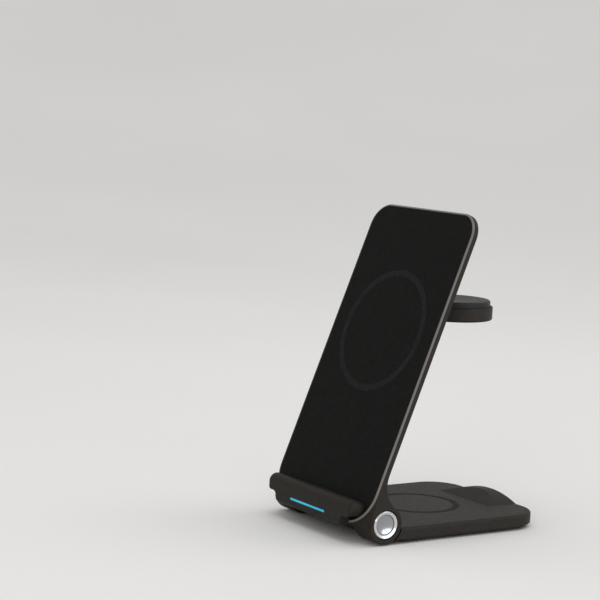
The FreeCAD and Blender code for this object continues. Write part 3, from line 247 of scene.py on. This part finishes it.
class Finish:
    """A principled material whose colour, gloss and relief come from procedural nodes."""

    def __init__(self, name, **values):
        """The values are named after the shader's sockets, with _ for a space."""
        self.material = bpy.data.materials.new(name)
        self.material.use_nodes = True
        self.tree = self.material.node_tree
        self.shader = self.tree.nodes["Principled BSDF"]
        self.where = self.add("ShaderNodeTexCoord").outputs["Object"]
        self.relief = None
        for socket, value in values.items():
            self.shader.inputs[socket.replace("_", " ")].default_value = value

    def add(self, kind, **settings):
        """A new node with its settings."""
        node = self.tree.nodes.new(kind)
        for name, value in settings.items():
            setattr(node, name, value)
        return node

    def feed(self, socket, source):
        """Links a socket to a node's output, or sets it to a plain value."""
        if isinstance(source, bpy.types.NodeSocket):
            self.tree.links.new(source, socket)
        else:
            socket.default_value = source

    def vector(self, operation, first, second=None):
        """One step of vector arithmetic."""
        node = self.add("ShaderNodeVectorMath", operation=operation)
        self.feed(node.inputs[0], first)
        if second is not None:
            self.feed(node.inputs[1], second)
        return next(output for output in node.outputs if output.enabled)

    def number(self, operation, *sources):
        """One step of plain arithmetic."""
        node = self.add("ShaderNodeMath", operation=operation)
        for socket, source in zip(node.inputs, sources):
            self.feed(socket, source)
        return node.outputs[0]

    def mix(self, kind, mask, first, second):
        """The first source where the mask is nought, and the second where it is one."""
        low, high, result = MIX_SOCKETS[kind]
        node = self.add("ShaderNodeMix", data_type=kind)
        self.feed(node.inputs[0], mask)
        self.feed(node.inputs[low], first)
        self.feed(node.inputs[high], second)
        return node.outputs[result]

    def spread(self, source, start, end, low=0.0, high=1.0, **settings):
        """Takes the values from start to end to those from low to high."""
        node = self.add("ShaderNodeMapRange", **settings)
        self.feed(node.inputs["Value"], source)
        self.feed(node.inputs["From Min"], start)
        self.feed(node.inputs["From Max"], end)
        self.feed(node.inputs["To Min"], low)
        self.feed(node.inputs["To Max"], high)
        return node.outputs[0]

    def along(self, place, direction):
        """How far a point lies from a place in one direction."""
        return self.vector("DOT_PRODUCT", self.vector("SUBTRACT", self.where, place), direction)

    def distance(self, place, axes):
        """How far a point lies from a place, along the axes that are marked with a one."""
        shift = self.vector("SUBTRACT", self.where, place)
        return self.vector("LENGTH", self.vector("MULTIPLY", shift, axes))

    def between(self, distance, low, high):
        """A mask that is one where a distance lies between two values."""
        return self.number("COMPARE", distance, (low + high) / 2, (high - low) / 2)

    def noise(self, size, detail, stretch=(1, 1, 1)):
        """Noise whose patches are about one size across."""
        mapping = self.add("ShaderNodeMapping")
        self.feed(mapping.inputs["Vector"], self.where)
        self.feed(mapping.inputs["Scale"], stretch)
        texture = self.add("ShaderNodeTexNoise")
        self.feed(texture.inputs["Vector"], mapping.outputs[0])
        self.feed(texture.inputs["Scale"], 1 / size)
        self.feed(texture.inputs["Detail"], detail)
        return texture.outputs["Fac"]

    def cells(self, size):
        """Irregular cells about one size across."""
        texture = self.add("ShaderNodeTexVoronoi", feature="SMOOTH_F1")
        self.feed(texture.inputs["Vector"], self.where)
        self.feed(texture.inputs["Scale"], 1 / size)
        return texture.outputs["Distance"]

    def rings(self, centre, spacing):
        """Round lines about an axis along X."""
        mapping = self.add("ShaderNodeMapping")
        self.feed(mapping.inputs["Vector"], self.where)
        self.feed(mapping.inputs["Location"], -Vector(centre))
        texture = self.add("ShaderNodeTexWave", wave_type="RINGS", rings_direction="X")
        self.feed(texture.inputs["Vector"], mapping.outputs[0])
        self.feed(texture.inputs["Scale"], WAVE_PERIOD / spacing)
        self.feed(texture.inputs["Distortion"], RING_WAVER)
        return texture.outputs["Fac"]

    def colour(self, driver, dark, light, socket="Base Color"):
        """Tones from dark to light."""
        ramp = self.add("ShaderNodeValToRGB")
        stops = ((NOISE_LOW, dark), (NOISE_HIGH, light))
        for element, (position, tone) in zip(ramp.color_ramp.elements, stops):
            element.position = position
            element.color = (*tone, 1.0)
        self.feed(ramp.inputs["Fac"], driver)
        self.feed(self.shader.inputs[socket], ramp.outputs["Color"])

    def gloss(self, driver, smooth, rough):
        """Roughness from smooth to rough."""
        self.feed(self.shader.inputs["Roughness"], self.spread(driver, NOISE_LOW, NOISE_HIGH, smooth, rough))

    def bump(self, driver, depth, strength):
        """Relief of a given depth, laid over the relief already there."""
        node = self.add("ShaderNodeBump")
        self.feed(node.inputs["Height"], driver)
        self.feed(node.inputs["Distance"], depth)
        self.feed(node.inputs["Strength"], strength)
        if self.relief:
            self.feed(node.inputs["Normal"], self.relief)
        self.relief = node.outputs["Normal"]
        self.feed(self.shader.inputs["Normal"], self.relief)

    def soft_edges(self, radius):
        """Rounds the sharp edges in the shading, and gives a mask of where they run."""
        rounded = self.add("ShaderNodeBevel", samples=EDGE_SAMPLES)
        self.feed(rounded.inputs["Radius"], radius)
        self.relief = rounded.outputs["Normal"]
        plain = self.add("ShaderNodeNewGeometry").outputs["Normal"]
        return self.spread(self.vector("DOT_PRODUCT", self.relief, plain), EDGE_STARTS, EDGE_FULL)

    def flat_within(self, distance, reach):
        """Takes the facets' own normals where a distance is short, as round a pole."""
        normals = self.add("ShaderNodeNewGeometry").outputs
        near = self.between(distance, 0.0, reach)
        self.relief = self.mix("VECTOR", near, normals["Normal"], normals["True Normal"])

    def change(self, socket, mask, value):
        """Another tone, or another number, of one socket where the mask is one."""
        target = self.shader.inputs[socket]
        plain = target.links[0].from_socket
        if isinstance(value, float):
            changed = self.mix("FLOAT", mask, plain, value)
        else:
            changed = self.mix("RGBA", mask, plain, (*value, 1.0))
        self.feed(target, changed)

    def zone(self, mask, tone, roughness):
        """Another tone and gloss where the mask is one."""
        self.change("Base Color", mask, tone)
        self.change("Roughness", mask, roughness)

    def wear_and_highlight(self, mask, tone):
        """Lets a paler tone show along the edges, broken up by noise: edge wear together with a painted edge
        highlight.
        """
        patchy = self.number("MULTIPLY", mask, self.noise(WEAR_AND_HIGHLIGHT_PATCH, detail=4))
        self.change("Base Color", patchy, tone)


# Plastics

# The bevel round the stand's front, which carries a painted highlight, by its distance from the hinge across the
# panel
BEVEL_FRONT = -8.69 * MM
BEVEL_BACK = -8.1 * MM


def moulded(name, dark, light, grain, depth, smooth, rough):
    """Moulded plastic: a fine spark-eroded grain with faint variation in tone and gloss."""
    finish = Finish(name, IOR=1.49, Specular_IOR_Level=0.15)
    edges = finish.soft_edges(radius=0.25 * MM)
    finish.colour(finish.noise(size=2.2 * MM, detail=5), dark, light)
    # Paler edges: wear, and a painted edge highlight
    finish.wear_and_highlight(edges, tone=[WEAR_AND_HIGHLIGHT_PALER * share for share in light])
    finish.gloss(finish.noise(size=1.1 * MM, detail=4), smooth, rough)
    finish.bump(finish.noise(size=grain, detail=3), depth, strength=0.5)
    return finish


def shell_plastic():
    """The shells' plastic, with a paler painted highlight on the bevel round the stand's front, which is also
    glossier.
    """
    finish = moulded(
        "shell", dark=(0.0155, 0.0126, 0.0098), light=(0.0205, 0.017, 0.0136),
        grain=0.22 * MM, depth=0.012 * MM, smooth=0.47, rough=0.57,
    )
    across = finish.along(HINGE, direction=(0, math.sin(LEAN), -math.cos(LEAN)))
    painted_rim_highlight = finish.between(across, BEVEL_FRONT, BEVEL_BACK)
    # A paler tone painted on the bevel as a highlight line; only its lower roughness is the plastic's own
    finish.zone(painted_rim_highlight, tone=(0.15, 0.143, 0.136), roughness=0.26)
    return finish.material


def cover_plastic():
    """The plain plastic of the cover underneath."""
    finish = moulded(
        "cover", dark=(0.014, 0.0135, 0.013), light=(0.02, 0.0195, 0.019),
        grain=0.3 * MM, depth=0.02 * MM, smooth=0.5, rough=0.62,
    )
    return finish.material


def puck_plastic():
    """The smooth satin plastic of the charging puck on the arm."""
    finish = moulded(
        "puck", dark=(0.014, 0.014, 0.0148), light=(0.018, 0.018, 0.019),
        grain=0.3 * MM, depth=0.001 * MM, smooth=0.42, rough=0.5,
    )
    return finish.material


def ferrite_sheet():
    """The sintered sheets behind the coils."""
    finish = moulded(
        "ferrite", dark=(0.05, 0.05, 0.053), light=(0.09, 0.09, 0.095),
        grain=0.1 * MM, depth=0.01 * MM, smooth=0.5, rough=0.7,
    )
    return finish.material


def soft_panel():
    """Soft-touch coating with a close leather-like grain."""
    finish = Finish("panel", IOR=1.46, Specular_IOR_Level=0.08)
    edges = finish.soft_edges(radius=0.15 * MM)
    patches = finish.noise(size=1.6 * MM, detail=5)
    finish.colour(patches, dark=(0.0045, 0.0043, 0.0041), light=(0.0072, 0.0069, 0.0066))
    # Paler edges: wear, and a painted edge highlight
    finish.wear_and_highlight(edges, tone=(0.02, 0.019, 0.018))
    finish.gloss(finish.noise(size=0.9 * MM, detail=3), smooth=0.52, rough=0.66)
    finish.bump(finish.cells(size=0.55 * MM), depth=0.05 * MM, strength=0.6)
    finish.bump(finish.noise(size=0.12 * MM, detail=2), depth=0.008 * MM, strength=0.5)
    return finish.material


def silicone(name, dark, light, dust):
    """Matte silicone with a dry, slightly dusty face."""
    finish = Finish(name, IOR=1.41, Specular_IOR_Level=0.08, Sheen_Weight=dust, Sheen_Roughness=0.6)
    finish.colour(finish.noise(size=1.8 * MM, detail=5), dark, light)
    finish.gloss(finish.noise(size=2 * MM, detail=3), smooth=0.62, rough=0.8)
    finish.bump(finish.noise(size=0.2 * MM, detail=3), depth=0.015 * MM, strength=0.5)
    return finish.material


def inlay_silicone():
    """The rings and the ledge's strip, nearly free of dust."""
    return silicone("soft_inlay", dark=(0.009, 0.009, 0.0093), light=(0.014, 0.014, 0.0145), dust=0.02)


def foot_silicone():
    """The feet, which gather dust."""
    return silicone("foot_rubber", dark=(0.018, 0.018, 0.018), light=(0.03, 0.03, 0.03), dust=0.3)


# Metals

# The cap's hollow and the step round it, where shade is painted, by their distance from the hinge's axis
HOLLOW_RADIUS = 3.58 * MM
STEP_RADIUS = 3.92 * MM
# The hollow's innermost facets, where the normals of the frame's mesh meet badly
POLE_RADIUS = 0.65 * MM


def turned_silver():
    """Turned aluminium with round tool lines: a bright rim, a step darkened with painted shade and a satin hollow
    painted darker as shade.
    """
    finish = Finish("silver", Metallic=1.0, Anisotropic=0.35)
    patches = finish.noise(size=2.5 * MM, detail=4)
    finish.colour(patches, dark=(0.62, 0.63, 0.645), light=(0.7, 0.71, 0.725))
    finish.gloss(finish.noise(size=1.2 * MM, detail=4), smooth=0.18, rough=0.3)
    out = finish.distance(HINGE, axes=(0, 1, 1))
    painted_shade_hollow = finish.between(out, 0.0, HOLLOW_RADIUS)
    step = finish.between(out, HOLLOW_RADIUS, STEP_RADIUS)
    # Painted shade: the hollow takes a darker tone and the step round it a dark line; only their roughness is the
    # metal's own
    finish.zone(painted_shade_hollow, tone=(0.36, 0.375, 0.395), roughness=0.2)
    finish.zone(step, tone=(0.12, 0.125, 0.13), roughness=0.4)
    finish.flat_within(out, POLE_RADIUS)
    finish.bump(finish.rings(HINGE, spacing=0.12 * MM), depth=0.003 * MM, strength=0.35)
    return finish.material


def ground_metal(name, dark, light, smooth, rough):
    """Metal ground along X."""
    finish = Finish(name, Metallic=1.0)
    streaks = finish.noise(size=1.0 * MM, detail=3, stretch=(0.1, 8, 8))
    finish.colour(streaks, dark, light)
    finish.gloss(finish.noise(size=0.8 * MM, detail=3), smooth, rough)
    finish.bump(streaks, depth=0.004 * MM, strength=0.4)
    return finish.material


def ground_steel():
    """The shafts, the screws and the inlet's shell."""
    return ground_metal("steel", dark=(0.42, 0.42, 0.43), light=(0.6, 0.6, 0.61), smooth=0.25, rough=0.4)


def ground_brass():
    """The bushes of the main hinge, and the inlet's contacts."""
    return ground_metal("bush", dark=(0.42, 0.3, 0.13), light=(0.62, 0.47, 0.22), smooth=0.3, rough=0.45)


def coil_copper():
    """The wound wire of the coils."""
    return ground_metal("copper", dark=(0.45, 0.2, 0.09), light=(0.72, 0.4, 0.22), smooth=0.3, rough=0.45)


# Other finishes

# How far from its middle line the light bar is fully lit, and how far out it has faded
LIGHT_CORE = 0.2 * MM
LIGHT_EDGE = 0.45 * MM


def board_green():
    """Solder resist over the tracks of a circuit board."""
    finish = Finish("board", IOR=1.5)
    finish.colour(finish.cells(size=2.2 * MM), dark=(0.012, 0.075, 0.035), light=(0.03, 0.16, 0.08))
    finish.gloss(finish.noise(size=1.5 * MM, detail=2), smooth=0.25, rough=0.4)
    finish.bump(finish.cells(size=2.2 * MM), depth=0.02 * MM, strength=0.5)
    return finish.material


def lit_cyan():
    """Frosted light guide, lit from behind by small lamps and dimmer along its upper and lower edge."""
    finish = Finish("light", Roughness=0.35, Specular_IOR_Level=0.2, Emission_Strength=0.64)
    lamps = finish.noise(size=4 * MM, detail=1)
    finish.colour(lamps, dark=(0.01, 0.1, 0.14), light=(0.015, 0.13, 0.17))
    finish.colour(lamps, dark=(0.03, 0.5, 0.76), light=(0.05, 0.62, 0.86), socket="Emission Color")
    low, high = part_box("led_light_guide")
    rise = finish.distance((low + high) / 2, axes=(0, 0, 1))
    faded = finish.spread(rise, LIGHT_CORE, LIGHT_EDGE, interpolation_type="SMOOTHSTEP")
    finish.change("Emission Color", faded, (0.008, 0.16, 0.24))
    finish.bump(finish.noise(size=0.15 * MM, detail=2), depth=0.01 * MM, strength=0.4)
    return finish.material


def pale_floor():
    """A matte pale floor with a very faint cloudiness."""
    finish = Finish("floor", Roughness=0.85)
    clouds = finish.noise(size=0.4, detail=2)
    finish.colour(clouds, dark=(0.79, 0.785, 0.775), light=(0.82, 0.815, 0.805))
    return finish.material


def make_finishes():
    """One material for each of the record's slots."""
    return {
        "shell": shell_plastic(),
        "cover": cover_plastic(),
        "panel": soft_panel(),
        "soft_inlay": inlay_silicone(),
        "foot_rubber": foot_silicone(),
        "puck": puck_plastic(),
        "silver": turned_silver(),
        "steel": ground_steel(),
        "bush": ground_brass(),
        "copper": coil_copper(),
        "ferrite": ferrite_sheet(),
        "board": board_green(),
        "light": lit_cyan(),
    }


def dress_nodes(finishes):
    """Each CAD node takes the finish of its slot."""
    for entry in frame["record"]["subparts"]:
        node = nodes[entry["node"]]
        node.data.materials.clear()
        node.data.materials.append(finishes[entry["material_slot"]])


# Contacts of the inlet

CONTACTS_A_SIDE = 12
CONTACT_PITCH = 0.5 * MM
CONTACT_LENGTH = 3.6 * MM
CONTACT_HALF_WIDTH = 0.14 * MM
TIP_LENGTH = 0.12 * MM
TIP_HALF_WIDTH = 0.08 * MM
# How far the contacts' tips lie behind the mouth, and their faces above and below the tongue's middle
MOUTH_TO_TIP = 0.8 * MM
CONTACT_INNER_FACE = 0.34 * MM
CONTACT_OUTER_FACE = 0.39 * MM


def contact_outline(middle, front):
    """One contact in plan, narrowed at its tip."""
    side = (
        (CONTACT_HALF_WIDTH, CONTACT_LENGTH),
        (CONTACT_HALF_WIDTH, TIP_LENGTH),
        (TIP_HALF_WIDTH, 0.0),
    )
    right = [(middle + across, front - back) for across, back in side]
    left = [(middle - across, front - back) for across, back in reversed(side)]
    return right + left


def add_contacts(finish):
    """A row of gold contacts on each face of the inlet's tongue."""
    low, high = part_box("usb_c_socket")
    level = (low.z + high.z) / 2
    front = high.y - MOUTH_TO_TIP
    points = []
    faces = []
    for step in range(CONTACTS_A_SIDE):
        outline = contact_outline((step - (CONTACTS_A_SIDE - 1) / 2) * CONTACT_PITCH, front)
        for side in (-1, 1):
            skin = sorted((level + side * CONTACT_INNER_FACE, level + side * CONTACT_OUTER_FACE))
            more_points, more_faces = prism(outline, *skin)
            faces += [tuple(corner + len(points) for corner in face) for face in more_faces]
            points += more_points
    contacts = mesh_piece("inlet_contacts", points, faces)
    contacts.data.materials.append(finish)
    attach(contacts, "base")


# Build

add_camera()
add_world()
finishes = make_finishes()
dress_nodes(finishes)
add_contacts(finishes["bush"])
add_floor(pale_floor())
add_softboxes()

bpy.context.scene.view_settings.view_transform = "Standard"
